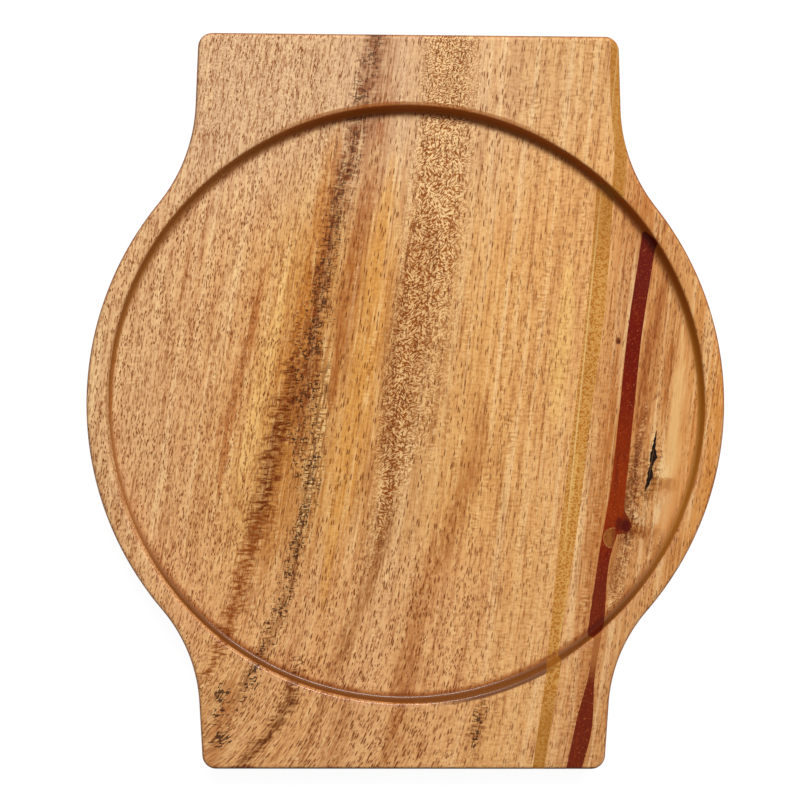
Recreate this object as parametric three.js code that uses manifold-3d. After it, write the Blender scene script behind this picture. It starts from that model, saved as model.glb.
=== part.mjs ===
// Wooden serving tray: one hardwood plank with a round recess and a wide grip at each end.
// Two natural gum veins run through the plank from face to face, so it comes apart along them
// into three boards, two veins and four small pockets and knots set into the recess floor.
// Millimetres, +Z up. The origin is on the underside at the middle of the tray, +Y runs along
// the tray to its far grip, and +X runs across it to the side with the veins.
import * as THREE from 'three';
import { mergeVertices } from 'three/addons/utils/BufferGeometryUtils.js';
import Module from 'manifold-3d';

// Plank outline: a round body, and a grip that stands out past it at each end
const bodyDiameter = 346.5;
const gripReach = 26.75;
const gripEndWidth = 223;
const gripFlareDegrees = 2.8;
const shoulderRadius = 88.5;
const cornerRadius = 7.8;
const trayThickness = 20;
const edgeRound = 3;

// Round recess, with a rim left around it
const rimWidth = 10.75;
const recessDepth = 6.5;
const recessWallDraftDegrees = 12;
const recessRimRound = 1.5;
const recessFloorFillet = 2.2;

// Gap left at every grown joint between neighbouring pieces
const seamGap = 0.3;

// Amber vein, measured on the recess floor from the line of the grips' ends to its middle; it
// runs through both grips and bends back inside the far one
const amberFromGripSide = 15.1;
const amberLeanDegrees = 5.7;
const amberWidth = 8.3;
const amberWidening = 0.012;
const amberBendStart = 110;
const amberBendRadius = 376;
const amberNearDipDegrees = -9.6;
const amberFarDipDegrees = 39;

// Red vein, measured from middle to middle; it bows slightly and thins to almost nothing on top
// of the far rim
const veinSpacing = 24.1;
const redLeanDegrees = 6.4;
const redBowRadius = 4900;
const redFloorWidth = 8;
const redNearTopWidth = 9;
const redFarTopWidth = 0.8;
const redNearDipDegrees = 0;
const redFarDipDegrees = 35;

// Bark pocket: a leaf of dark bark in the edge board, outside the red vein
const barkLength = 33;
const barkWidth = 3.2;
const barkAlong = -27.5;
const barkFromRedVein = 13.2;
const barkLeanDegrees = 9.6;

// Gum pocket: a burst of hard gum that lies against the outer face of the red vein
const gumLength = 14.5;
const gumWidth = 7.2;
const gumAlong = -61;

// Amber bead: a drop of clear gum in the outer half of the red vein
const beadLength = 12;
const beadWidth = 6;
const beadAlong = -71;

// Pin knot: the stub of a twig in the strip between the veins
const pinKnotDiameter = 3.2;
const pinKnotTipDiameter = 1.6;
const pinKnotAlong = 38.3;
const pinKnotFromRedVein = 3;

// Reach of the pockets and the knot below the recess floor, and how narrow the pockets end
const pocketDepth = 4;
const pocketTipWidth = 0.4;

// Fineness of the faceted surfaces
const bodyArcSteps = 15;
const shoulderArcSteps = 12;
const cornerArcSteps = 6;
const roundSteps = 3;
const recessSteps = 120;
const pinKnotSteps = 12;
const veinStep = 10;
const pocketSteps = 12;

// Heights and lengths that follow from the sizes above
const floorHeight = trayThickness - recessDepth;
const bodyRadius = bodyDiameter / 2;
const halfLength = bodyRadius + gripReach;
const recessRadius = bodyRadius - rimWidth;
const amberOffset = gripEndWidth / 2 - amberFromGripSide;
const redOffset = amberOffset + veinSpacing;
const sideReach = bodyRadius + shoulderRadius;

// How far a cutter reaches past the faces that it cuts
const cutMargin = edgeRound;

const wasm = await Module();
wasm.setup();

function radians(degrees) {
  return THREE.MathUtils.degToRad(degrees);
}

function slope(degrees) {
  return Math.tan(radians(degrees));
}

// Points along an arc, both ends included
function arcPoints(centre, radius, startAngle, endAngle, steps) {
  const points = [];
  for (let step = 0; step <= steps; step += 1) {
    const angle = startAngle + ((endAngle - startAngle) * step) / steps;
    const x = centre.x + radius * Math.cos(angle);
    const y = centre.y + radius * Math.sin(angle);
    points.push(new THREE.Vector2(x, y));
  }
  return points;
}

// Outline of the tray drawn in by an inset, counter-clockwise from the right of the body.
// Every arc keeps its centre and its angles, so outlines of any inset have matching points.
function trayOutline(inset) {
  const flare = radians(gripFlareDegrees);
  const sideNormal = new THREE.Vector2(Math.cos(flare), Math.sin(flare));
  const sideDistance = sideNormal.dot(new THREE.Vector2(gripEndWidth / 2, halfLength));
  const shoulderReach = bodyRadius + shoulderRadius;
  const shoulderOut = sideDistance + shoulderRadius;
  const shoulderUp = Math.sqrt(shoulderReach ** 2 - shoulderOut ** 2);
  const shoulder = new THREE.Vector2(
    shoulderOut * sideNormal.x - shoulderUp * sideNormal.y,
    shoulderOut * sideNormal.y + shoulderUp * sideNormal.x,
  );
  const shoulderAngle = Math.atan2(shoulder.y, shoulder.x);
  const cornerY = halfLength - cornerRadius;
  const corner = new THREE.Vector2(
    (sideDistance - cornerRadius - sideNormal.y * cornerY) / sideNormal.x,
    cornerY,
  );
  const middle = new THREE.Vector2();
  const bodyArc = arcPoints(middle, bodyRadius - inset, 0, shoulderAngle, bodyArcSteps);
  const shoulderArc = arcPoints(
    shoulder,
    shoulderRadius + inset,
    Math.PI + shoulderAngle,
    Math.PI + flare,
    shoulderArcSteps,
  );
  const cornerArc = arcPoints(corner, cornerRadius - inset, flare, Math.PI / 2, cornerArcSteps);
  const farRight = [...bodyArc, ...shoulderArc.slice(1), ...cornerArc];
  const farLeft = farRight.map((point) => new THREE.Vector2(-point.x, point.y)).reverse();
  const farHalf = [...farRight, ...farLeft.slice(0, -1)];
  const nearHalf = farHalf.map((point) => new THREE.Vector2(-point.x, -point.y));
  return [...farHalf, ...nearHalf];
}

// Closed geometry through level rings that have equal counts of points, listed upwards
function loft(rings) {
  const count = rings[0].outline.length;
  const positions = [];
  for (const ring of rings) {
    for (const point of ring.outline) {
      positions.push(point.x, point.y, ring.height);
    }
  }
  const index = [];
  for (let level = 0; level + 1 < rings.length; level += 1) {
    for (let place = 0; place < count; place += 1) {
      const next = (place + 1) % count;
      const low = level * count;
      const high = low + count;
      index.push(low + place, low + next, high + next);
      index.push(low + place, high + next, high + place);
    }
  }
  const top = (rings.length - 1) * count;
  for (const [a, b, c] of THREE.ShapeUtils.triangulateShape(rings[0].outline, [])) {
    index.push(a, c, b);
  }
  for (const [a, b, c] of THREE.ShapeUtils.triangulateShape(rings.at(-1).outline, [])) {
    index.push(top + a, top + b, top + c);
  }
  const geometry = new THREE.BufferGeometry();
  geometry.setAttribute('position', new THREE.Float32BufferAttribute(positions, 3));
  geometry.setIndex(index);
  return geometry;
}

// Solid of a closed geometry, with its shared vertices merged and empty triangles dropped
function solidOf(geometry) {
  const bare = geometry.clone();
  bare.deleteAttribute('normal');
  bare.deleteAttribute('uv');
  const merged = mergeVertices(bare);
  const corners = merged.index.array;
  const triangles = [];
  for (let start = 0; start < corners.length; start += 3) {
    const [a, b, c] = corners.slice(start, start + 3);
    if (a !== b && b !== c && c !== a) {
      triangles.push(a, b, c);
    }
  }
  const vertProperties = new Float32Array(merged.attributes.position.array);
  const triVerts = new Uint32Array(triangles);
  return new wasm.Manifold(new wasm.Mesh({ numProp: 3, vertProperties, triVerts }));
}

// Plank blank with both edges rounded over
function plankBlank() {
  const rings = [];
  for (let step = 0; step <= roundSteps; step += 1) {
    const angle = ((Math.PI / 2) * step) / roundSteps;
    const inset = edgeRound * (1 - Math.sin(angle));
    const height = edgeRound * (1 - Math.cos(angle));
    rings.push({ outline: trayOutline(inset), height });
  }
  const upper = rings.map((ring) => ({ ...ring, height: trayThickness - ring.height }));
  return solidOf(loft([...rings, ...upper.reverse()]));
}

// Turned cutter for the recess: flat floor, small fillet, leaning wall and rounded rim
function recessCutter() {
  const draft = radians(recessWallDraftDegrees);
  const wallFoot = recessRadius - recessDepth * Math.tan(draft);
  const tangent = Math.tan((Math.PI / 2 - draft) / 2);
  const filletCentre = new THREE.Vector2(
    wallFoot - recessFloorFillet * tangent,
    floorHeight + recessFloorFillet,
  );
  const rimCentre = new THREE.Vector2(
    recessRadius + recessRimRound * tangent,
    trayThickness - recessRimRound,
  );
  const floorCorner = arcPoints(filletCentre, recessFloorFillet, -Math.PI / 2, -draft, roundSteps);
  const rimCorner = arcPoints(rimCentre, recessRimRound, Math.PI - draft, Math.PI / 2, roundSteps);
  const clearTop = trayThickness + cutMargin;
  const profile = [
    new THREE.Vector2(0, floorHeight),
    ...floorCorner,
    ...rimCorner,
    new THREE.Vector2(rimCentre.x, clearTop),
    new THREE.Vector2(0, clearTop),
  ];
  return solidOf(new THREE.LatheGeometry(profile, recessSteps).rotateX(Math.PI / 2));
}

// How far along the tray a place is, from 0 at the near end to 1 at the far end
function shareAlong(along) {
  return along / (2 * halfLength) + 0.5;
}

// Sideways shift of a dipping vein above or below the recess floor
function dipShift(along, height, nearDegrees, farDegrees) {
  const dip = THREE.MathUtils.lerp(slope(nearDegrees), slope(farDegrees), shareAlong(along));
  return (height - floorHeight) * dip;
}

function amberMiddle(along, height) {
  const pastBend = Math.max(0, along - amberBendStart);
  const bend = pastBend ** 2 / (2 * amberBendRadius);
  const shift = dipShift(along, height, amberNearDipDegrees, amberFarDipDegrees);
  return amberOffset + along * slope(amberLeanDegrees) - bend + shift;
}

function amberHalfWidth(along) {
  return (amberWidth + along * amberWidening) / 2;
}

function amberLeft(along, height) {
  return amberMiddle(along, height) - amberHalfWidth(along);
}

function amberRight(along, height) {
  return amberMiddle(along, height) + amberHalfWidth(along);
}

function redMiddle(along, height) {
  const bow = along ** 2 / (2 * redBowRadius);
  const shift = dipShift(along, height, redNearDipDegrees, redFarDipDegrees);
  return redOffset + along * slope(redLeanDegrees) - bow + shift;
}

function redHalfWidth(along, height) {
  const thinning = Math.max(0, 1 - shareAlong(along)) ** 2;
  const topWidth = THREE.MathUtils.lerp(redFarTopWidth, redNearTopWidth, thinning);
  const rise = THREE.MathUtils.clamp((height - floorHeight) / recessDepth, 0, 1);
  return THREE.MathUtils.lerp(redFloorWidth, topWidth, rise) / 2;
}

function redLeft(along, height) {
  return redMiddle(along, height) - redHalfWidth(along, height);
}

function redRight(along, height) {
  return redMiddle(along, height) + redHalfWidth(along, height);
}

// Slab between two curved side faces, each given by a function of place along and height
function slab({ left, right, from, to, steps, heights }) {
  const places = [];
  for (let step = 0; step <= steps; step += 1) {
    places.push(THREE.MathUtils.lerp(from, to, step / steps));
  }
  const rings = heights.map((height) => {
    const rightEdge = places.map((along) => new THREE.Vector2(right(along, height), along));
    const leftEdge = places.map((along) => new THREE.Vector2(left(along, height), along));
    return { outline: [...rightEdge, ...leftEdge.reverse()], height };
  });
  return solidOf(loft(rings));
}

// Slab that runs the whole length of the tray and through its whole thickness
function fullSlab(left, right) {
  const reach = halfLength + cutMargin;
  return slab({
    left,
    right,
    from: -reach,
    to: reach,
    steps: Math.ceil((2 * reach) / veinStep),
    heights: [-cutMargin, floorHeight, trayThickness, trayThickness + cutMargin],
  });
}

// Share of a pocket's full width at a place along it: a leaf that closes at both tips
function leaf(along, middle, length) {
  const fromMiddle = (2 * (along - middle)) / length;
  return Math.max(0, 1 - fromMiddle ** 2);
}

function leafWidth(along, middle, length, width) {
  return pocketTipWidth + (width - pocketTipWidth) * leaf(along, middle, length);
}

// Leaf-shaped slab let into the recess floor; the clearance makes its hole in the neighbour
function pocketSlab(left, right, middle, length, clearance) {
  const foot = floorHeight - pocketDepth - clearance;
  return slab({
    left,
    right,
    from: middle - length / 2 - clearance,
    to: middle + length / 2 + clearance,
    steps: pocketSteps,
    heights: [foot, floorHeight, floorHeight + cutMargin],
  });
}

function barkSlab(clearance) {
  function middle(along) {
    const root = redRight(barkAlong, floorHeight) + barkFromRedVein + barkWidth / 2;
    return root + (along - barkAlong) * slope(barkLeanDegrees);
  }
  function half(along) {
    return leafWidth(along, barkAlong, barkLength, barkWidth) / 2 + clearance;
  }
  return pocketSlab(
    (along) => middle(along) - half(along),
    (along) => middle(along) + half(along),
    barkAlong,
    barkLength,
    clearance,
  );
}

// The gum pocket starts a seam outside the red vein; its hole reaches into the vein's space
function gumSlab(clearance) {
  function reach(along) {
    return leafWidth(along, gumAlong, gumLength, gumWidth) + clearance;
  }
  return pocketSlab(
    (along, height) => redRight(along, height) + seamGap - 2 * clearance,
    (along, height) => redRight(along, height) + seamGap + reach(along),
    gumAlong,
    gumLength,
    clearance,
  );
}

// The amber bead is flush with the outer face of the red vein; its hole opens through that face
function beadSlab(clearance) {
  function reach(along) {
    return leafWidth(along, beadAlong, beadLength, beadWidth) + clearance;
  }
  return pocketSlab(
    (along, height) => redRight(along, height) - reach(along),
    (along, height) => redRight(along, height) + clearance,
    beadAlong,
    beadLength,
    clearance,
  );
}

function pinKnotPlug(clearance) {
  const fromVein = pinKnotFromRedVein + pinKnotDiameter / 2;
  const across = redLeft(pinKnotAlong, floorHeight) - fromVein;
  const centre = new THREE.Vector2(across, pinKnotAlong);
  function circle(diameter) {
    const radius = diameter / 2 + clearance;
    return arcPoints(centre, radius, 0, 2 * Math.PI, pinKnotSteps).slice(1);
  }
  return solidOf(loft([
    { outline: circle(pinKnotTipDiameter), height: floorHeight - pocketDepth - clearance },
    { outline: circle(pinKnotDiameter), height: floorHeight },
    { outline: circle(pinKnotDiameter), height: floorHeight + cutMargin },
  ]));
}

// Named mesh of a solid, with its own finish
function piece(name, solid, color, roughness) {
  const mesh = solid.getMesh();
  const geometry = new THREE.BufferGeometry();
  geometry.setAttribute('position', new THREE.BufferAttribute(mesh.vertProperties, 3));
  geometry.setIndex(new THREE.BufferAttribute(mesh.triVerts, 1));
  geometry.computeVertexNormals();
  const material = new THREE.MeshStandardMaterial({ color, roughness, metalness: 0 });
  const result = new THREE.Mesh(geometry, material);
  result.name = name;
  return result;
}

// The plank with its recess, parted along the veins
const plank = plankBlank().subtract(recessCutter());
const mainBoard = plank.intersect(
  fullSlab(() => -sideReach, (along, height) => amberLeft(along, height) - seamGap),
);
const amberVein = plank.intersect(fullSlab(amberLeft, amberRight));
const middleStrip = plank.intersect(
  fullSlab(
    (along, height) => amberRight(along, height) + seamGap,
    (along, height) => redLeft(along, height) - seamGap,
  ),
);
const redVein = plank.intersect(fullSlab(redLeft, redRight));
const edgeBoard = plank.intersect(
  fullSlab((along, height) => redRight(along, height) + seamGap, () => sideReach),
);

// The tray with its pockets and knot seated in the recess floor
const tray = new THREE.Group();
tray.name = 'wooden_tray';
tray.add(
  piece('main_board', mainBoard, 0xcb9358, 0.42),
  piece('amber_vein', amberVein, 0xc38640, 0.4),
  piece('middle_strip', middleStrip.subtract(pinKnotPlug(seamGap)), 0xc3864d, 0.42),
  piece('red_vein', redVein.subtract(beadSlab(seamGap)), 0x762916, 0.3),
  piece(
    'edge_board',
    edgeBoard.subtract(barkSlab(seamGap)).subtract(gumSlab(seamGap)),
    0xc48d55,
    0.42,
  ),
  piece('bark_pocket', plank.intersect(barkSlab(0)), 0x2a1812, 0.6),
  piece('gum_pocket', plank.intersect(gumSlab(0)), 0x5b1c0d, 0.4),
  piece('amber_bead', plank.intersect(beadSlab(0)), 0x904b20, 0.3),
  piece('pin_knot', plank.intersect(pinKnotPlug(0)), 0x824324, 0.5),
);

export default tray;
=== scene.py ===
import math

import bmesh
import bpy
import numpy as np
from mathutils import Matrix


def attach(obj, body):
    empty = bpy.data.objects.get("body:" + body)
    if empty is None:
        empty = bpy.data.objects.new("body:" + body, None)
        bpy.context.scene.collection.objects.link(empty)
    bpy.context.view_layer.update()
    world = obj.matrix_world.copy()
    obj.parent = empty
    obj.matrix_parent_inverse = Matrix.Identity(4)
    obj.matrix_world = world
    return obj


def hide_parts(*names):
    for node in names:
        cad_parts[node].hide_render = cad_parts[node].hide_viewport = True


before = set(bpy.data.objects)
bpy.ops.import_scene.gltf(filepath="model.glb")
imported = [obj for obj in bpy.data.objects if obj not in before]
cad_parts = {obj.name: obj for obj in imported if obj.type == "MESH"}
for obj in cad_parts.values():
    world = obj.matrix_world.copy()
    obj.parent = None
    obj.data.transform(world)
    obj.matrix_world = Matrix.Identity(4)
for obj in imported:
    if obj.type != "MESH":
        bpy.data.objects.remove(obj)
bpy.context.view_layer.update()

# Plank blank: one piece of oiled hardwood, sawn to a round body with a wide grip at each end.
# The recess is turned out of its top with a leaning wall, and all edges are rounded over by hand.
# Every ring of the mesh runs once around the tray, from the middle of the floor to the underside.
MM = 0.001


def tone(code):
    """A colour written as a web code, in the linear values that shaders take."""
    parts = [int(code[start:start + 2], 16) / 255 for start in (0, 2, 4)]
    linear = [p / 12.92 if p <= 0.04045 else ((p + 0.055) / 1.055) ** 2.4 for p in parts]
    return (*linear, 1.0)


class Wire:
    """An output socket of a node tree that takes Python's operators."""

    def __init__(self, tree, socket=None):
        self.tree = tree
        self.socket = socket

    def add(self, kind, settings=None, inputs=None, out=0):
        """Add a node: settings first, then the values or links of its inputs."""
        node = self.tree.nodes.new(kind)
        for name, value in (settings or {}).items():
            if name == "stops":
                ramp = node.color_ramp
                while len(ramp.elements) < len(value):
                    ramp.elements.new(0.5)
                for element, (place, colour) in zip(ramp.elements, value):
                    element.position = place
                    element.color = colour
            elif name == "points":
                curve = node.mapping.curves[0]
                for place, level in value[1:-1]:
                    curve.points.new(place, level)
                curve.points[0].location = value[0]
                curve.points[-1].location = value[-1]
                for point in curve.points:
                    point.handle_type = "AUTO_CLAMPED"
                node.mapping.update()
            else:
                setattr(node, name, value)
        for key, value in (inputs or {}).items():
            if isinstance(value, Wire):
                self.tree.links.new(value.socket, node.inputs[key])
            else:
                node.inputs[key].default_value = value
        return Wire(self.tree, node.outputs[out])

    def maths(self, operation, *others):
        """A maths node with this value first."""
        terms = dict(enumerate((self, *others)))
        return self.add("ShaderNodeMath", {"operation": operation}, terms)

    def __add__(self, other):
        return self.maths("ADD", other)

    __radd__ = __add__

    def __sub__(self, other):
        return self.maths("SUBTRACT", other)

    def __rsub__(self, other):
        return self.add("ShaderNodeMath", {"operation": "SUBTRACT"}, {0: other, 1: self})

    def __mul__(self, other):
        return self.maths("MULTIPLY", other)

    __rmul__ = __mul__

    def __truediv__(self, other):
        return self.maths("DIVIDE", other)

    def __abs__(self):
        return self.maths("ABSOLUTE")

    def sin(self):
        return self.maths("SINE")

    def cos(self):
        return self.maths("COSINE")

    def root(self):
        return self.maths("SQRT")

    def most(self, other):
        return self.maths("MAXIMUM", other)

    def clip(self):
        return self.add("ShaderNodeClamp", {}, {"Value": self})

    def smooth(self, low, high):
        """Rise softly from 0 at low to 1 at high."""
        settings = {"interpolation_type": "SMOOTHSTEP"}
        return self.add("ShaderNodeMapRange", settings, {0: self, 1: low, 2: high})

    def vector(self, x, y, z):
        return self.add("ShaderNodeCombineXYZ", {}, {"X": x, "Y": y, "Z": z})

    def split(self):
        spread = self.add("ShaderNodeSeparateXYZ", {}, {"Vector": self})
        return [Wire(self.tree, socket) for socket in spread.socket.node.outputs]

    def blend(self, first, second, amount):
        """A colour between two plain ones, written as web codes."""
        settings = {"data_type": "RGBA", "clamp_factor": True}
        inputs = {0: amount, 6: tone(first), 7: tone(second)}
        return self.add("ShaderNodeMix", settings, inputs, 2)

    def tinted(self, code, amount, blend="MIX"):
        """This colour moved towards that of a web code, or stained by it."""
        settings = {"data_type": "RGBA", "clamp_factor": True, "blend_type": blend}
        return self.add("ShaderNodeMix", settings, {0: amount, 6: self, 7: tone(code)}, 2)

    def bump(self, strength, depth):
        """A normal for relief of this height."""
        inputs = {"Strength": strength, "Distance": depth, "Height": self}
        return self.add("ShaderNodeBump", {}, inputs, "Normal")


plank_sizes = {
    "Body Radius": 173.25 * MM,
    "Half Length": 200 * MM,
    "Grip Half Width": 111.5 * MM,
    "Grip Flare": math.radians(2.8),
    "Shoulder Radius": 88.5 * MM,
    "Corner Radius": 7.8 * MM,
    "Thickness": 20 * MM,
    "Edge Round": 3 * MM,
    "Recess Radius": 162.5 * MM,
    "Recess Depth": 6.5 * MM,
    "Wall Draft": math.radians(12),
    "Rim Round": 1.5 * MM,
    "Floor Fillet": 2.2 * MM,
}
floor_z = plank_sizes["Thickness"] - plank_sizes["Recess Depth"]
top_z = plank_sizes["Thickness"]


def new_tree(name, sizes):
    """A geometry tree with one named input for each size, and its inputs as wires."""
    tree = bpy.data.node_groups.new(name, "GeometryNodeTree")
    tree.interface.new_socket("Geometry", in_out="INPUT", socket_type="NodeSocketGeometry")
    tree.interface.new_socket("Geometry", in_out="OUTPUT", socket_type="NodeSocketGeometry")
    for label in sizes:
        tree.interface.new_socket(label, in_out="INPUT", socket_type="NodeSocketFloat")
    source = tree.nodes.new("NodeGroupInput")
    wires = {socket.name: Wire(tree, socket) for socket in source.outputs if socket.name}
    return tree, Wire(tree), wires


def close_tree(wire, mesh, material):
    """End a tree in real geometry with its finish."""
    real = wire.add("GeometryNodeRealizeInstances", {}, {"Geometry": mesh})
    done = wire.add("GeometryNodeSetMaterial", {}, {"Geometry": real, "Material": material})
    result = wire.tree.nodes.new("NodeGroupOutput")
    wire.tree.links.new(done.socket, result.inputs[0])


def grown_mesh(name, tree, sizes, start):
    """Run a tree on a starting mesh and keep the result as a plain mesh."""
    holder = bpy.data.objects.new(name, start)
    bpy.context.collection.objects.link(holder)
    modifier = holder.modifiers.new(name, "NODES")
    modifier.node_group = tree
    for item in tree.interface.items_tree:
        if item.in_out == "INPUT" and item.name in sizes:
            modifier[item.identifier] = sizes[item.name]
    depsgraph = bpy.context.evaluated_depsgraph_get()
    mesh = bpy.data.meshes.new_from_object(holder.evaluated_get(depsgraph), depsgraph=depsgraph)
    holder.modifiers.remove(modifier)
    bpy.data.objects.remove(holder)
    mesh.name = name
    return mesh


outline_steps = {"body": 60, "shoulder": 36, "side": 10, "corner": 14, "end": 30}
ring_steps = {
    "floor": 26,
    "fillet": 4,
    "wall": 4,
    "rim": 6,
    "top": 9,
    "edge": 8,
    "side": 4,
    "foot": 8,
    "under": 14,
}
plank_tree, wire, size = new_tree("tray_plank", plank_sizes)
quarter = sum(outline_steps.values())
rings = sum(ring_steps.values())
grid_size = {
    "Size X": 1.0,
    "Size Y": 1.0,
    "Vertices X": rings + 1,
    "Vertices Y": 4 * quarter + 1,
}
sheet = wire.add("GeometryNodeMeshGrid", {}, grid_size)
ring_place, round_place, _ = wire.add("GeometryNodeInputPosition").split()
ring = (ring_place + 0.5) * rings
turn = (round_place + 0.5) * 4
step = turn.maths("PINGPONG", 1.0) * quarter


def stages(count, steps):
    """The share done of each stage, in order."""
    shares = {}
    start = 0
    for name, length in steps.items():
        shares[name] = ((count - start) / length).clip()
        start += length
    return shares


along_ring = stages(ring, ring_steps)
around = stages(step, outline_steps)
upright = math.pi / 2 - size["Wall Draft"]
tangent = (upright / 2).maths("TANGENT")
draft_sin = size["Wall Draft"].sin()
draft_cos = size["Wall Draft"].cos()
draft_slope = size["Wall Draft"].maths("TANGENT")
floor_reach = (
    size["Recess Radius"] - size["Recess Depth"] * draft_slope - size["Floor Fillet"] * tangent
)
rim_reach = size["Recess Radius"] + size["Rim Round"] * tangent
fillet_turn = along_ring["fillet"] * upright
rim_turn = along_ring["rim"] * upright + size["Wall Draft"]
wall_run = rim_reach - floor_reach - (size["Rim Round"] + size["Floor Fillet"]) * draft_cos
wall_rise = size["Recess Depth"] - (size["Rim Round"] + size["Floor Fillet"]) * (1 - draft_sin)
reach = (
    floor_reach * along_ring["floor"]
    + size["Floor Fillet"] * fillet_turn.sin()
    + wall_run * along_ring["wall"]
    + size["Rim Round"] * (draft_cos - rim_turn.cos())
)
edge_turn = along_ring["edge"] * (math.pi / 2)
foot_turn = along_ring["foot"] * (math.pi / 2)
level = (
    size["Thickness"]
    - size["Recess Depth"]
    + size["Floor Fillet"] * (1 - fillet_turn.cos())
    + wall_rise * along_ring["wall"]
    + size["Rim Round"] * (rim_turn.sin() - draft_sin)
    - size["Edge Round"] * (1 - edge_turn.cos())
    - (size["Thickness"] - 2 * size["Edge Round"]) * along_ring["side"]
    - size["Edge Round"] * foot_turn.sin()
)
inset = size["Edge Round"] * (2 - edge_turn.sin() - foot_turn.cos())

flare_cos = size["Grip Flare"].cos()
flare_sin = size["Grip Flare"].sin()
side_gap = flare_cos * size["Grip Half Width"] + flare_sin * size["Half Length"]
hub_gap = size["Body Radius"] + size["Shoulder Radius"]
hub_out = side_gap + size["Shoulder Radius"]
hub_up = (hub_gap * hub_gap - hub_out * hub_out).root()
hub_x = hub_out * flare_cos - hub_up * flare_sin
hub_y = hub_out * flare_sin + hub_up * flare_cos
hub_turn = hub_y.maths("ARCTAN2", hub_x)
corner_y = size["Half Length"] - size["Corner Radius"]
corner_x = (side_gap - size["Corner Radius"] - flare_sin * corner_y) / flare_cos
body_turn = around["body"] * hub_turn
shoulder_turn = math.pi + hub_turn + around["shoulder"] * (size["Grip Flare"] - hub_turn)
corner_turn = size["Grip Flare"] + around["corner"] * (math.pi / 2 - size["Grip Flare"])
body_arm = size["Body Radius"] - inset
shoulder_arm = size["Shoulder Radius"] + inset
corner_arm = size["Corner Radius"] - inset
shoulder_x = hub_x + shoulder_arm * shoulder_turn.cos()
shoulder_y = hub_y + shoulder_arm * shoulder_turn.sin()
bend_x = corner_x + corner_arm * corner_turn.cos()
bend_y = corner_y + corner_arm * corner_turn.sin()
grip_x = (shoulder_x + (bend_x - shoulder_x) * around["side"]) * (1 - around["end"])
grip_y = shoulder_y + (bend_y - shoulder_y) * around["side"]
on_body = step.maths("LESS_THAN", outline_steps["body"] + 0.5)
edge_x = grip_x + (body_arm * body_turn.cos() - grip_x) * on_body
edge_y = grip_y + (body_arm * body_turn.sin() - grip_y) * on_body
edge_gap = (edge_x * edge_x + edge_y * edge_y).root()
spread = (reach / edge_gap) * (1 - along_ring["top"]) + along_ring["top"]
spread = spread * (1 - along_ring["under"])
right_side = (turn * (math.pi / 2)).cos().maths("SIGN")
far_side = (2 - turn).maths("SIGN")
placed = wire.vector(edge_x * spread * right_side, edge_y * spread * far_side, level)
shaped = wire.add("GeometryNodeSetPosition", {}, {"Geometry": sheet, "Position": placed})
seam = 0.002 * MM
joined = wire.add("GeometryNodeMergeByDistance", {}, {"Geometry": shaped, "Distance": seam})
oiled_wood = bpy.data.materials.new("oiled_board_wood")
close_tree(wire, joined, oiled_wood)
blank = grown_mesh("plank_blank", plank_tree, plank_sizes, bpy.data.meshes.new("plank_start"))


# Main board: the whole plank to the left of the amber vein, about three quarters of the tray.
# It is straight honey-coloured hardwood with brown heartwood streaks, oiled to a low sheen.
# It ends on the grown face of the amber vein, with nothing between the two.
def station_line(*stations):
    """A smooth line through stations of (along, across), all in millimetres."""
    along = np.array([station[0] for station in stations], float)
    across = np.array([station[1] for station in stations], float)
    lean = np.gradient(across, along)

    def line(y):
        y = np.clip(y, along[0], along[-1])
        place = np.clip(np.searchsorted(along, y) - 1, 0, len(along) - 2)
        span = along[place + 1] - along[place]
        t = (y - along[place]) / span
        rise = (1 - t) ** 2 * ((1 + 2 * t) * across[place] + t * span * lean[place])
        fall = t**2 * ((3 - 2 * t) * across[place + 1] + (t - 1) * span * lean[place + 1])
        return rise + fall

    return line


def vein_face(floor_line, top_line, near_dip, far_dip):
    """The face between a vein and its neighbour, as across from along and height in metres."""
    near_slope = math.tan(math.radians(near_dip))
    far_slope = math.tan(math.radians(far_dip))

    def face(y, z):
        floor_x = floor_line(y / MM) * MM
        top_x = top_line(y / MM) * MM
        share = np.clip(y / (2 * plank_sizes["Half Length"]) + 0.5, 0, 1)
        dip = near_slope + (far_slope - near_slope) * share
        rise = np.clip((z - floor_z) / (top_z - floor_z), 0, 1)
        return floor_x + (top_x - floor_x) * rise + np.minimum(z - floor_z, 0) * dip

    return face


def shift_across(shape, face, sign):
    """Slide every point across by the face's own place, so that the face becomes a plane."""
    points = np.array([vertex.co for vertex in shape.verts])
    slide = sign * face(points[:, 1], points[:, 2])
    for vertex, change in zip(shape.verts, slide):
        vertex.co.x += change


merge_gap = 1e-7
sharp_edge = math.radians(40)


def part_plank(name, left_face, right_face):
    """The piece of the plank between two vein faces, closed along both."""
    shape = bmesh.new()
    shape.from_mesh(blank)
    for face, keep in ((left_face, 1), (right_face, -1)):
        if face is None:
            continue
        shift_across(shape, face, -1)
        cut = bmesh.ops.bisect_plane(
            shape,
            geom=shape.verts[:] + shape.edges[:] + shape.faces[:],
            dist=merge_gap,
            plane_co=(0, 0, 0),
            plane_no=(-keep, 0, 0),
            clear_outer=True,
        )
        rim = [item for item in cut["geom_cut"] if isinstance(item, bmesh.types.BMEdge)]
        bmesh.ops.triangle_fill(shape, use_beauty=True, edges=rim, normal=(-keep, 0, 0))
        shift_across(shape, face, 1)
    bmesh.ops.remove_doubles(shape, verts=shape.verts[:], dist=merge_gap)
    bmesh.ops.recalc_face_normals(shape, faces=shape.faces[:])
    mesh = bpy.data.meshes.new(name)
    shape.to_mesh(mesh)
    shape.free()
    return mesh


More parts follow.
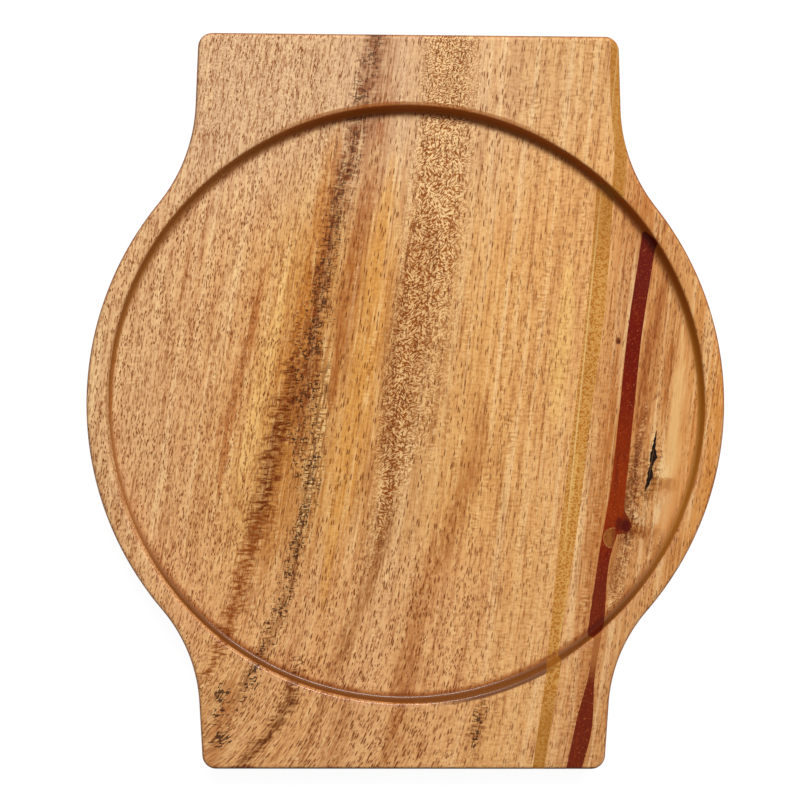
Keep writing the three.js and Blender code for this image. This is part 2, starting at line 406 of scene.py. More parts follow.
def finish_piece(name, mesh, material, node):
    """Give a mesh even shading and its finish, and put it in its node's place."""
    mesh.materials.clear()
    mesh.materials.append(material)
    mesh.shade_smooth()
    mesh.set_sharp_from_angle(angle=sharp_edge)
    piece = bpy.data.objects.new(name, mesh)
    bpy.context.collection.objects.link(piece)
    even = piece.modifiers.new("even_shading", "WEIGHTED_NORMAL")
    even.keep_sharp = True
    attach(piece, "root")
    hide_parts(node)
    return piece


amber_left = vein_face(
    station_line((-200, 71), (-130, 80), (-60, 86), (0, 92.3), (60, 98), (115, 101.7), (200, 103)),
    station_line((-200, 71), (-145, 78), (0, 96), (120, 109.4), (140, 110), (165, 107.4), (200, 107)),
    near_dip=-9.6,
    far_dip=39,
)


class Finish:
    """A material's shader, and wires for the place on the piece in millimetres."""

    def __init__(self, material, lean=0.0):
        material.use_nodes = True
        self.material = material
        self.wire = Wire(material.node_tree)
        self.shader = material.node_tree.nodes["Principled BSDF"]
        place = self.wire.add("ShaderNodeTexCoord", out="Object")
        self.across, self.along, self.height = [axis * (1 / MM) for axis in place.split()]
        self.grain = self.across - lean * self.along if lean else self.across

    def noise(self, width, length, detail=0.0, seed=0.0):
        """Noise drawn out along the grain; its width and length are in millimetres."""
        across = self.grain / width + seed
        place = self.wire.vector(across, self.along / length + seed, self.height / width)
        inputs = {"Vector": place, "Scale": 1.0, "Detail": detail, "Roughness": 0.55}
        return self.wire.add("ShaderNodeTexNoise", {}, inputs, "Fac")

    def radius(self):
        """The distance from the middle of the tray."""
        return (self.across * self.across + self.along * self.along).root()

    def oval(self, across, along, half_width, half_length):
        """The distance from a place, where 1 is the edge of an oval around it."""
        side_way = (self.across - across) / half_width
        end_way = (self.along - along) / half_length
        return (side_way * side_way + end_way * end_way).root()

    def plug(self, inputs):
        """Feed the shader: wires are linked, and plain numbers are set on its own sockets."""
        for name, value in inputs.items():
            if isinstance(value, Wire):
                self.wire.tree.links.new(value.socket, self.shader.inputs[name])
            else:
                self.shader.inputs[name].default_value = value


wood = Finish(oiled_wood)
across, along, height = wood.across, wood.along, wood.height
bend_along = -60
lean = 0.1 + 0.06 * across.smooth(60, -40)
past_bend = (bend_along - along).most(0.0)
sweep = (across * -0.0125 - 1.25).maths("EXPONENT") * 1.15e-5
grain = across - lean * along + sweep * past_bend * past_bend * past_bend
wood.grain = grain
curve_end = 210
side_most = 190
half_least, half_most = 0.05, 60


def along_curve(stations, low, high):
    """A value that follows stations of (along, value) between its two limits."""
    points = []
    for y, value in sorted(stations):
        points.append(((y + curve_end) / (2 * curve_end), (value - low) / (high - low)))
    share = (along + curve_end) / (2 * curve_end)
    curve = wood.wire.add("ShaderNodeFloatCurve", {"points": points}, {"Value": share})
    return curve * (high - low) + low


feather = (wood.noise(1.8, 30, detail=2.0, seed=3.0) - 0.5) * 10
hairs = (wood.noise(9, 1.7, detail=1.0, seed=61.0) - 0.5) * 16 + feather * 0.4


def streak(path, widths, ragged=feather):
    """A soft streak: stations of its middle and of its half width, both by place along."""
    middle = along_curve(path, -side_most, side_most)
    half = along_curve(widths, 0, half_most).most(half_least)
    return (abs(across + ragged - middle) / half).smooth(1.0, 0.1)


# Broad bands of colour by place across the grain.
band_end = 200
grain_bands = [
    (-170, "ddae7c"),
    (-125, "dfaa74"),
    (-95, "dea568"),
    (-72, "daa056"),
    (-50, "cc9150"),
    (-22, "d39148"),
    (2, "d49f66"),
    (30, "dfa45f"),
    (62, "e2a763"),
    (100, "e2a96a"),
    (112, "bd7639"),
    (140, "d09458"),
    (175, "d38c42"),
]
band_stops = [((place + band_end) / (2 * band_end), tone(code)) for place, code in grain_bands]
band_share = (grain + band_end) / (2 * band_end)
bands = wood.wire.add("ShaderNodeValToRGB", {"stops": band_stops}, {0: band_share})
slow = wood.noise(4.5, 230, detail=2.0, seed=11.0)
colour = bands.tinted("b4713a", slow.smooth(0.5, 0.75) * (0.6 - 0.15 * grain.smooth(20, 50)))
low_half = along.smooth(-40, -110) * grain.smooth(75, 40)
colour = colour.tinted("f5cf98", slow.smooth(0.5, 0.28) * (0.6 - 0.3 * low_half))
colour = colour.tinted("e6ac76", low_half * 0.5)
colour = colour.tinted("ecb27a", along.smooth(-60, -140) * 0.2)
far_right = along.smooth(120, 180) * across.smooth(40, 70)
colour = colour.tinted("f3f7ff", far_right, "MULTIPLY")
# Paler towards the far grip and the left rim: partly paler wood, partly painted sheen.
colour = colour.tinted("dcb894", along.smooth(70, 170) * across.smooth(120, -20) * 0.75)
# Each streak has its colour, its strength, and stations of its middle and of its half width.
streaks = [
    ("ecb86c", 0.8, [(80, -64), (30, -75), (-40, -91)], [(95, 0), (50, 5), (0, 7), (-60, 0)]),
    ("b5682a", 0.7, [(70, -79), (40, -85), (10, -92), (-25, -100), (-45, -104)],
     [(85, 0), (30, 6), (-10, 7), (-50, 0)]),
    ("c67c2c", 0.65, [(140, -40), (105, -47), (60, -57), (15, -66)],
     [(160, 0), (110, 9), (40, 9), (0, 3), (-15, 0)]),
    ("e0a04c", 0.6, [(130, -8), (80, -16), (20, -24), (-40, -36), (-100, -44)],
     [(140, 0), (100, 8), (20, 12), (-40, 11), (-120, 0)]),
    ("b96c1e", 0.5, [(90, -47), (45, -55), (0, -62), (-40, -68), (-80, -76)],
     [(115, 0), (50, 12), (0, 17), (-40, 17), (-100, 0)]),
    ("9a4c16", 0.55, [(170, -12), (120, -22), (75, -30), (35, -36), (0, -42)],
     [(185, 0), (150, 10), (110, 10), (60, 9), (-10, 0)]),
    ("76360e", 0.76, [(200, -17), (155, -26), (125, -35), (90, -42), (55, -49), (30, -52), (-10, -57)],
     [(205, 8), (150, 8), (92, 8), (20, 9), (-35, 0)]),
    ("684018", 0.5, [(-45, -54), (-85, -62), (-120, -71), (-140, -82), (-165, -96)],
     [(-40, 0), (-60, 3), (-110, 4.5), (-145, 5), (-170, 0)]),
    ("8a4a16", 0.55, [(95, 2), (55, -5), (15, -9), (-45, -9), (-75, -13), (-105, -24), (-150, -40)],
     [(110, 0), (70, 6), (15, 9), (-50, 6), (-110, 7), (-170, 3)]),
    ("a8703a", 0.4, [(100, 10), (55, 8), (10, 3), (-20, 0)], [(120, 0), (60, 13), (20, 11), (-30, 0)]),
    ("ab6a36", 0.6, [(0, 42), (-25, 38), (-75, 21), (-115, 6), (-155, -2)],
     [(15, 0), (-25, 9), (-80, 10), (-130, 12), (-175, 6)]),
    ("62300c", 0.85, [(-145, -60), (-165, -66), (-190, -84), (-200, -92)],
     [(-135, 0), (-165, 6), (-185, 6), (-205, 8)]),
    ("b0662a", 0.6, [(-150, -95), (-195, -106)], [(-140, 0), (-170, 8), (-200, 9)]),
    ("a8693a", 0.45, [(-155, -30), (-200, -42)], [(-145, 0), (-175, 9), (-205, 9)]),
    ("a8693a", 0.35, [(-150, 4), (-200, -8)], [(-140, 4), (-170, 9), (-205, 9)]),
    ("a07050", 0.6, [(205, -14), (155, -19)], [(205, 15), (170, 13), (150, 0)]),
    ("b58a62", 0.5, [(205, 28), (160, 22)], [(205, 12), (175, 11), (150, 0)]),
    ("f0c070", 0.6, [(75, 88), (30, 84), (-10, 80)], [(85, 0), (40, 8), (10, 7), (-20, 0)]),
    ("985428", 0.7, [(60, 138), (15, 131), (-30, 127), (-60, 123)],
     [(85, 0), (40, 6), (-10, 6), (-50, 6), (-70, 0)]),
    ("7c4620", 0.75, [(-20, 127), (-40, 124), (-55, 122)], [(-12, 0), (-30, 5), (-50, 5), (-60, 0)]),
    ("9a6020", 0.7, [(-32, 138), (-42, 136), (-48, 134)], [(-30, 0), (-38, 4), (-44, 4), (-52, 0)]),
    ("eccb98", 0.6, [(-54, 126), (-62, 129)], [(-52, 0), (-57, 4), (-61, 4), (-64, 0)]),
    ("a8622a", 0.7, [(35, 145), (10, 142), (-5, 141)], [(45, 0), (20, 3), (5, 3), (-12, 0)]),
    ("e6b878", 0.75, [(40, 150), (14, 149), (-8, 147), (-27, 145.5), (-36, 143)],
     [(55, 0), (20, 3), (-8, 5), (-27, 8), (-35, 7.5), (-38, 0)]),
    ("efcb92", 0.6, [(-26, 142), (-32, 141), (-36, 141)], [(-22, 0), (-30, 3), (-35, 4.5), (-37.5, 0)]),
    ("a87040", 0.6, [(-37, 143), (-44, 142)], [(-37, 0), (-38.5, 9), (-42, 9), (-47, 0)]),
    ("d8a46c", 0.6, [(-45, 142), (-63, 138)], [(-43, 0), (-48, 9), (-60, 9), (-64, 0)]),
    ("ecc692", 0.6, [(-44, 141.5), (-64, 138)], [(-43, 0), (-50, 2), (-60, 3), (-64.5, 0)]),
    ("9a6034", 0.55, [(-64, 137), (-78, 134)], [(-64, 0), (-65.5, 9), (-68, 9), (-80, 0)]),
    ("6a3a18", 0.65, [(-14, 138), (-30, 135), (-45, 132)],
     [(-10, 0), (-20, 2.5), (-35, 4.5), (-46, 3), (-52, 0)]),
    ("6a2c12", 0.6, [(-52, 120.5), (-60, 124), (-66, 125), (-72, 121)],
     [(-50, 0), (-56, 3), (-62, 5), (-68, 5.5), (-74, 3), (-78, 0)]),
    ("8a5028", 0.55, [(-70, 119.5), (-85, 117), (-100, 114.5)], [(-68, 0), (-74, 6), (-90, 6), (-105, 0)]),
    ("7a3c1c", 0.65, [(-160, 99.5), (-182, 97), (-200, 95)],
     [(-150, 0), (-165, 3.5), (-190, 4.5), (-205, 3)]),
    ("7c4420", 0.6, [(-158, 43), (-190, 38)], [(-155, 0), (-165, 3), (-182, 4), (-195, 0)]),
    ("94500f", 0.9, [(-62, 126), (-66, 128), (-69, 130)], [(-61, 0), (-65, 7), (-67, 7), (-71, 0)]),
    ("703410", 0.8, [(-50, 120), (-60, 123), (-66, 123), (-72, 121)],
     [(-48, 0), (-58, 4), (-66, 5), (-74, 0)]),
]
threads = 0.5 + 0.7 * wood.noise(1.4, 6, detail=2.0, seed=67.0).smooth(0.38, 0.62)
dark_red, brown_red = 0x80, 0xB0
dark_masks = []
# Dark streaks have hairy edges. Dark and brown ones are broken into threads, and pale ones are not.
for code, amount, path, widths in streaks:
    red_part = int(code[:2], 16)
    mask = streak(path, widths, hairs if red_part < dark_red else feather) * amount
    if red_part < brown_red:
        mask = mask * threads
        dark_masks.append(mask)
    colour = colour.tinted(code, mask)
# Two dark streaks are curled: short strokes lie across them.
curled_streaks = [
    ("6a2f04", 1.0, [(60, -58), (15, -64), (-15, -70), (-45, -77), (-75, -85)],
     [(55, 0), (30, 4), (5, 8), (-20, 10), (-48, 9.5), (-70, 6), (-88, 0)]),
    ("8e4812", 0.9, [(-55, -78), (-75, -85), (-105, -92), (-130, -101), (-150, -110)],
     [(-50, 0), (-75, 7), (-110, 7), (-160, 0)]),
]
curls = 0.5 + 0.6 * wood.noise(4, 1.2, detail=2.0, seed=71.0).smooth(0.42, 0.6)
for code, amount, path, widths in curled_streaks:
    mask = streak(path, widths, hairs) * amount * curls
    dark_masks.append(mask)
    colour = colour.tinted(code, mask)
streak_darkness = dark_masks[0]
for mask in dark_masks[1:]:
    streak_darkness = streak_darkness.most(mask)
clear = 1 - streak_darkness
colour = colour.tinted("fff3e1", streak_darkness, "MULTIPLY")

# The mottle is a band of rippled grain down the middle of the board, woven from three strokes.
mottle_left = along_curve(
    [(200, 6), (120, 0), (50, -10), (-20, -17), (-110, -28), (-200, -50)], -side_most, side_most
)
mottle_right = along_curve(
    [(200, 40), (120, 34), (30, 26), (0, 20), (-50, -3), (-110, -20)], -side_most, side_most
)
inside = (across + feather - mottle_left).smooth(-6, 8)
inside = inside * (mottle_right - across - feather).smooth(-7, 9)
curl = streak(
    [(0, 131), (-40, 126), (-62, 125), (-90, 119)],
    [(10, 0), (-30, 6), (-55, 9), (-75, 8), (-100, 6), (-115, 0)],
)
heart = streak(
    [(170, 20), (95, 14), (50, 4), (15, -4), (-45, -9), (-100, -22)],
    [(200, 20), (95, 24), (40, 20), (0, 16), (-60, 10), (-120, 8)],
)
mottle = inside * along.smooth(-130, -40) * (0.5 + 0.5 * heart) + curl * 0.6
mottle = mottle + 0.3 * along.smooth(110, 170) * across.smooth(-20, -60)
colour = colour.tinted("deb074", mottle * 0.4 * clear)

# Long fibres run everywhere but in the calm, pale wood beside the bark pocket.
calm = streak(
    [(60, 153), (0, 149), (-30, 147), (-62, 142), (-75, 138)],
    [(75, 0), (20, 7), (-20, 10), (-50, 10), (-64, 6), (-75, 0)],
)
busy = 1 - calm
straight = grain.smooth(20, 60)
fibre = wood.noise(1.0, 22, detail=1.0, seed=5.0)
colour = colour.tinted("a9743f", fibre.smooth(0.5, 0.8) * 0.65 * busy, "MULTIPLY")
colour = colour.tinted("fbd596", fibre.smooth(0.48, 0.2) * (0.5 - 0.15 * straight) * clear * busy)

stroke_width, stroke_length = 0.54, 1.6


def slanted_strokes(degrees, seed):
    """Short strokes of ripple figure that lie at an angle to the grain."""
    slant = math.radians(degrees)
    side_way = grain * math.cos(slant) + along * math.sin(slant)
    run_way = along * math.cos(slant) - grain * math.sin(slant)
    place = wood.wire.vector(side_way / stroke_width + seed, run_way / stroke_length + seed, height)
    inputs = {"Vector": place, "Scale": 1.0, "Detail": 0.0}
    return wood.wire.add("ShaderNodeTexNoise", {}, inputs, "Fac")


leaning_left = slanted_strokes(38, 3.0)
leaning_right = slanted_strokes(-48, 8.0)
crossing = slanted_strokes(85, 15.0)
swap = wood.noise(7, 9, detail=1.0, seed=41.0).smooth(0.44, 0.52)
weave = leaning_left + (leaning_right - leaning_left) * swap
weave = weave + (crossing - weave) * wood.noise(8, 6, detail=1.0, seed=43.0).smooth(0.54, 0.62)
rungs = wood.noise(3.2, 1.3)
silky = wood.noise(5, 45, detail=1.0, seed=31.0).smooth(0.55, 0.78)
plain = across.smooth(116, 104)
lines = rungs.smooth(0.5, 0.75) * (0.14 + 0.12 * straight + 0.26 * silky) * busy * plain
lines = lines + (weave.smooth(0.48, 0.57) * 1.1 - lines) * mottle
colour = colour.tinted("b07c40", lines, "MULTIPLY")
# The gleam is painted highlight: pale glints between the ripple lines and in the woven mottle.
gleam = rungs.smooth(0.5, 0.3) * (0.08 + 0.35 * silky) * clear * clear * busy * plain
gleam = gleam + weave.smooth(0.47, 0.36) * mottle * (0.15 + 0.5 * clear * clear)
colour = colour.tinted("fcd698", gleam)

# Open pores are thick and brown on the left, and dotted on the right.
left_side = grain.smooth(-45, -85)
ticked = left_side.most(low_half * 0.75)
thick = 0.45 + 0.85 * wood.noise(7, 45, detail=1.0, seed=71.0).smooth(0.38, 0.62)


def vessel_marks(width, length, seed, wide):
    """Short open pores drawn along the grain, and a chance for each."""
    place = wood.wire.vector(grain / width + seed, along / length + seed, height / width)
    cells = wood.wire.add("ShaderNodeTexVoronoi", {}, {"Vector": place, "Scale": 1.0}, "Distance")
    chance = Wire(wood.wire.tree, cells.socket.node.outputs["Color"]).split()[0]
    return cells.smooth(wide, wide * 0.6), chance


marks, lot = vessel_marks(1.05, 5.2, 0.0, 0.45)
fine_marks, fine_lot = vessel_marks(0.8, 2.7, 21.0, 0.44)
dotted = lot.smooth(0.66, 0.72) * (1 - 0.6 * left_side) * (busy + 0.3)
colour = colour.tinted("9a5222", marks * (0.25 + 0.35 * ticked) * busy)
fine_share = 0.42 + 0.9 * ticked + 0.3 * (1 - plain)
colour = colour.tinted("7e4018", fine_marks * fine_lot * thick * fine_share * busy)
colour = colour.tinted("743a12", marks * dotted * (0.65 - 0.2 * straight))
# Painted glints: pale flecks beside the pores, more on the left.
pore_glints = fine_lot.smooth(0.3, 0.0) * fine_marks * (0.15 + 0.2 * left_side)
colour = colour.tinted("f3cf9a", pore_glints * clear)

# Black specks of gum follow the brown streak, with hatched wood beside them.
speck_zone = streak(
    [(200, -18), (150, -28), (92, -41), (45, -50), (5, -56), (-40, -54), (-82, -62), (-135, -77),
     (-165, -92)],
    [(205, 8), (150, 11), (90, 12), (40, 15), (-10, 17), (-60, 9), (-110, 9), (-140, 9), (-170, 0)],
)
speck_zone = speck_zone + streak(
    [(-155, -100), (-185, -102)], [(-150, 0), (-160, 10), (-180, 10), (-190, 0)]
)
speck_zone = speck_zone + streak(
    [(-162, 42), (-188, 38)], [(-160, 0), (-168, 6), (-180, 6), (-190, 0)]
)
patchy = wood.noise(6, 9, detail=1.0, seed=53.0).smooth(0.35, 0.6)
upright_bits = wood.noise(0.9, 2.5, seed=7.0)
level_bits = wood.noise(2.3, 0.9, seed=9.0)
clots = upright_bits.most(level_bits) + speck_zone * (0.135 + 0.135 * patchy)
specks = clots.smooth(0.82, 0.88) * speck_zone.smooth(0.0, 0.25)
hatched = streak(
    [(25, -43), (0, -46), (-25, -50), (-50, -54), (-70, -58)],
    [(30, 0), (5, 6), (-25, 9), (-50, 8), (-75, 0)],
)
posts = wood.noise(1.1, 7, seed=81.0)
rails = wood.noise(4.5, 1.1, seed=83.0)
bars = posts.smooth(0.52, 0.62).most(rails.smooth(0.54, 0.64) * 0.8)
panes = posts.smooth(0.48, 0.38) * rails.smooth(0.54, 0.44)
colour = colour.tinted("f4d092", panes * hatched * 0.6)
colour = colour.tinted("5a2808", bars * hatched * 0.6)
colour = colour.tinted("34180a", specks * (0.88 - 0.2 * along.smooth(10, 110)))


def recess_shade(finish):
    """Masks of the recess: its whole wall, the part darkened by old oil and painted shade, and the floor
    at its foot, for painted shade and grime.
    """
    across, along, height = finish.across, finish.along, finish.height
    radius = finish.radius()
    far = along.smooth(-20, 90)
    # The darkening climbs highest on the far wall, where painted shade joins the oil.
    limit = (
        15.4
        + 4.1 * far
        + 0.5 * along.smooth(135, 160)
        + 2.4 * along.smooth(-50, -130) * across.smooth(110, 60)
        + 3.2 * across.smooth(-40, 70) * (1 - far)
    )
    above_floor = height.smooth(12.5, 13.4)
    past_foot = radius.smooth(159.2, 160.8)
    inside_rim = radius.smooth(165.2, 164.2)
    ring = past_foot * above_floor * inside_rim
    wall = ring * (limit - height).smooth(-0.7, 0.6)
    # The floor along the wall's foot, for painted shade and grime, most towards both grips.
    foot = radius.smooth(156.5, 159.6) * radius.smooth(160.8, 160.0) * above_floor
    return ring, wall, foot * abs(along).smooth(10, 130)


ring, wall, foot = recess_shade(wood)
film = ring * wood.radius().smooth(164.0, 163.2) * along.smooth(-60, -150)
# Painted shade and grime darken the floor at the wall's foot. Old oil and painted shade darken the wall,
# with painted light on its right side and more painted shade on its far side.
lit_right_wall = across.smooth(60, 130) * along.smooth(90, 20) * along.smooth(-115, -40)
far_wall_shade = along.smooth(-40, 120) * (0.8 - 0.75 * across.smooth(-30, -110))
colour = colour.tinted("b98f68", foot * 0.9, "MULTIPLY")
colour = colour.tinted("dcc4a2", film * 0.5, "MULTIPLY")
colour = colour.tinted("9a5a1c", wall * 0.9)
colour = colour.tinted("5e300e", wall * along.smooth(-40, -120) * 0.75)
colour = colour.tinted("ac701c", wall * lit_right_wall * 0.75)
colour = colour.tinted("8e440c", wall * far_wall_shade)
# Painted shade on the rounded outer edges and the sides, darkest along the near edge.
outer = wood.radius().smooth(164.6, 165.6)
side = outer * height.smooth(19.8, 18.8) * height.smooth(0.2, 1.5)
near_edge_shade = outer * along.smooth(-197.9, -198.7) * height.smooth(19.9, 19.3)
colour = colour.tinted("b08458", side * 0.85, "MULTIPLY")
colour = colour.tinted("361809", near_edge_shade * 0.9)
relief = fibre - marks * 0.8 - lines - specks
wood.plug(
    {
        "Base Color": colour,
        "Roughness": 0.52 - 0.1 * fibre + 0.08 * marks,
        "Normal": relief.bump(0.3, 0.06 * MM),
        "Specular IOR Level": 0.1,
        "Coat Weight": ring * along.smooth(20, -50) * 0.6,
        "Coat Roughness": 0.12,
    }
)
main_mesh = part_plank("main_board", None, amber_left)
finish_piece("main_board_wood", main_mesh, oiled_wood, "main_board")

# Amber vein: a band of hard golden wood without pores, grown through the plank from face to face.
# It runs through both grips, leaning with the grain, and bends back inside the far one.
amber_right = vein_face(
    station_line((-200, 77.3), (-130, 86), (-60, 95.3), (0, 101.5), (60, 108), (115, 111), (200, 114)),
    station_line((-200, 77.3), (-145, 85.4), (0, 103), (120, 115.6), (140, 117), (165, 116.8), (200, 119)),
    near_dip=-9.6,
    far_dip=39,
)
amber = Finish(bpy.data.materials.new("amber_vein_wood"), lean=0.1)
slow = amber.noise(2.0, 90, detail=1.5, seed=2.0)
swirl = amber.noise(1.9, 1.9, detail=1.0, seed=8.0)
hatch = (swirl * 17).sin()
pores = amber.noise(0.7, 2.6, detail=1.0, seed=3.0)
pale_line = amber.across - 0.085 * amber.along - 94.4
past_middle = amber.along.smooth(-60, -30)
both_ends = amber.along.smooth(60, 110) + amber.along.smooth(-150, -175)
_, wall, foot = recess_shade(amber)
colour = amber.wire.blend("c27e30", "ab6820", slow.smooth(0.45, 0.75) * 0.8)
colour = colour.tinted("e0b060", slow.smooth(0.45, 0.25) * 0.6)
colour = colour.tinted("b06f28", pale_line.smooth(0.2, -0.6) * past_middle * 0.5)
colour = colour.tinted("e8c078", hatch.smooth(0.1, 0.9) * 0.35)
colour = colour.tinted("8a5218", hatch.smooth(-0.1, -0.9) * 0.35)
thread = abs(pale_line).smooth(0.6, 0.2) * amber.along.smooth(-80, -40)
colour = colour.tinted("e8c280", thread * 0.6)
colour = colour.tinted("7a4512", pores.smooth(0.68, 0.78) * 0.6)
colour = colour.tinted("a0641e", both_ends * 0.5)
# Painted shade and grime at the wall's foot, and old oil with painted shade on the wall.
colour = colour.tinted("b98f68", foot * 0.8, "MULTIPLY")
colour = colour.tinted("8a5014", wall * 0.85)
amber.plug(
    {
        "Base Color": colour,
        "Roughness": 0.46 + 0.06 * hatch,
        "Normal": hatch.bump(0.25, 0.04 * MM),
        "Specular IOR Level": 0.1,
    }
)
amber_mesh = part_plank("amber_vein", amber_left, amber_right)
finish_piece("amber_vein_wood", amber_mesh, amber.material, "amber_vein")

# Middle strip: the narrow board between the two veins, of the same straight-grained hardwood.
# It fades out at the side of the far grip, where the amber vein leaves the plank.
red_left = vein_face(
    station_line(
        (-200, 90), (-123, 101.5), (-80, 107), (-40, 113), (0, 116.7), (40, 120), (97, 127.2), (200, 137)
    ),
    station_line(
        (-200, 89.7), (-170, 95.5), (-145, 101.5), (-124, 104), (0, 118), (92, 133), (100, 135), (200, 150)
    ),
    near_dip=0,
    far_dip=35,
)
strip_mesh = part_plank("middle_strip", amber_right, red_left)
middle_strip = finish_piece("middle_strip_wood", strip_mesh, oiled_wood, "middle_strip")

# Pin knot: the stub of a twig that the tree grew around, hard and dark, in the middle strip.
# It tapers downwards, and its end grain is cut flush with the floor of the recess.
inlay_depth = 4 * MM
inlay_taper = 0.6
seat_spare = 0.02
seat_lift = 2 * MM


def inlay_mesh(name, left_edge, right_edge, near, far, crown, lift=0.0, spare=0.0, overhang=0.0):
    """A solid let into the floor between two edges; crown gives its top from two shares."""
    along_steps, across_steps = 56, 14
    top = []
    foot = []
    for i in range(along_steps + 1):
        y = near - spare + (far - near + 2 * spare) * i / along_steps
        left = left_edge(y) - spare
        right = right_edge(y) + spare
        for j in range(across_steps + 1):
            share = j / across_steps
            x = left + (right - left) * share
            rise = crown(i / along_steps, share) * MM + lift
            middle = (left + right) / 2
            foot_x = middle + (x - middle) * inlay_taper
            if j == 0 and overhang:
                x = foot_x = left - overhang
            top.append((x * MM, y * MM, floor_z + rise))
            foot.append((foot_x * MM, y * MM, floor_z - inlay_depth))
    shape = bmesh.new()
    wide = across_steps + 1
    tops = [shape.verts.new(point) for point in top]
    feet = [shape.verts.new(point) for point in foot]
    for i in range(along_steps):
        for j in range(across_steps):
            a, b = i * wide + j, i * wide + j + 1
            c, d = b + wide, a + wide
            shape.faces.new((tops[a], tops[b], tops[c], tops[d]))
            shape.faces.new((feet[d], feet[c], feet[b], feet[a]))
        for j, order in ((0, 1), (across_steps, -1)):
            a, d = i * wide + j, (i + 1) * wide + j
            shape.faces.new((tops[a], tops[d], feet[d], feet[a])[::order])
    for i, order in ((0, -1), (along_steps, 1)):
        for j in range(across_steps):
            a, b = i * wide + j, i * wide + j + 1
            shape.faces.new((tops[a], tops[b], feet[b], feet[a])[::order])
    bmesh.ops.remove_doubles(shape, verts=shape.verts[:], dist=merge_gap)
    bmesh.ops.recalc_face_normals(shape, faces=shape.faces[:])
    mesh = bpy.data.meshes.new(name)
    shape.to_mesh(mesh)
    shape.free()
    return mesh


def let_into(host, left_edge, right_edge, near, far, overhang=0.0):
    """Cut the seat of an inlay out of the board that carries it."""
    edges = (left_edge, right_edge, near, far)
    seat = inlay_mesh("seat", *edges, lambda u, v: 0.0, seat_lift, seat_spare, overhang)
    cutter = bpy.data.objects.new("seat_cutter", seat)
    block = bpy.data.objects.new("seat_block", host.data)
    for item in (cutter, block):
        bpy.context.collection.objects.link(item)
    cut = block.modifiers.new("seat", "BOOLEAN")
    cut.operation = "DIFFERENCE"
    cut.solver = "EXACT"
    cut.object = cutter
    depsgraph = bpy.context.evaluated_depsgraph_get()
    mesh = bpy.data.meshes.new_from_object(block.evaluated_get(depsgraph), depsgraph=depsgraph)
    bpy.data.objects.remove(block)
    bpy.data.objects.remove(cutter)
    mesh.materials.clear()
    mesh.materials.append(host.data.materials[0])
    mesh.shade_smooth()
    mesh.set_sharp_from_angle(angle=sharp_edge)
    host.data = mesh


knot_across, knot_along = 115.3, 38.2
knot_half, knot_reach = 1.6, 1.95
knot_blunt = 0.12


def knot_width(y):
    share = min(1.0, abs(y - knot_along) / knot_reach)
    return knot_blunt + (knot_half - knot_blunt) * (1 - share**2.6) ** 0.5


def knot_left(y):
    return knot_across - knot_width(y)


def knot_right(y):
    return knot_across + knot_width(y)


def knot_crown(u, v):
    ring = math.hypot(2 * u - 1, 2 * v - 1)
    return 0.05 * math.cos(9 * ring) - 0.1


knot = Finish(bpy.data.materials.new("knot_wood"))
pith = knot.oval(knot_across + 0.3, knot_along - 0.3, knot_half, knot_reach)
ripple = knot.noise(0.5, 0.5, detail=2.0, seed=1.0)
growth = (pith * 12 + ripple * 5).sin()
colour = knot.wire.blend("52200c", "965020", pith.smooth(0.3, 0.95))
colour = colour.tinted("4a1e0e", growth.smooth(0.0, 1.0) * 0.5)
colour = colour.tinted("b87a48", ripple.smooth(0.55, 0.8) * 0.5)
knot.plug(
    {
        "Base Color": colour,
        "Roughness": 0.4 + 0.15 * ripple,
        "Normal": growth.bump(0.4, 0.06 * MM),
        "Specular IOR Level": 0.1,
    }
)
knot_span = (knot_along - knot_reach, knot_along + knot_reach)
let_into(middle_strip, knot_left, knot_right, *knot_span)
knot_mesh = inlay_mesh("pin_knot", knot_left, knot_right, *knot_span, knot_crown)
finish_piece("pin_knot_wood", knot_mesh, knot.material, "pin_knot")

# Red vein: hard red gum that filled a split in the tree, clear and glossy once it is oiled.
# It glows orange where it is thick, browns at both ends, and thins to nothing on the far rim.
red_right = vein_face(
    station_line(
        (-200, 98), (-118, 110.4), (-80, 113.6), (-60, 119.4), (-40, 121.4), (0, 124.7), (40, 128),
        (97, 135.5), (200, 146),
    ),
    station_line(
        (-200, 98.2), (-180, 103.2), (-145, 105), (-124, 108), (0, 124), (92, 134.6), (100, 135.06),
        (200, 150.06),
    ),
    near_dip=0,
    far_dip=35,
)
red = Finish(bpy.data.materials.new("red_gum"), lean=0.1)
cloud = red.noise(4, 30, detail=2.0, seed=4.0)
drops = red.noise(0.7, 0.7, seed=14.0)
haze = red.noise(1.1, 1.6, detail=2.0, seed=19.0)
thick_part = red.along.smooth(30, -45) * red.along.smooth(-85, -55)
burst = red.oval(118, -63, 3.2, 5.5)
faint = red.height.smooth(18.8, 19.8) * red.along.smooth(-152, -134)
_, wall, foot = recess_shade(red)
colour = red.wire.blend("6a1204", "8a2e05", thick_part)
colour = colour.tinted("5a1606", cloud.smooth(0.5, 0.75) * 0.6)
colour = colour.tinted("8c2e0c", cloud.smooth(0.45, 0.25) * 0.5)
colour = colour.tinted("6e2a12", red.along.smooth(-70, -100) * 0.6)
colour = colour.tinted("5e1a10", red.along.smooth(40, 75) * 0.6)
colour = colour.tinted("aa4c1c", haze.smooth(0.52, 0.8) * 0.4)
colour = colour.tinted("4c1006", haze.smooth(0.48, 0.25) * 0.35)
colour = colour.tinted("521006", burst.smooth(1.1, 0.3) * 0.85)
colour = colour.tinted("c87c48", drops.smooth(0.75, 0.81) * 0.55)
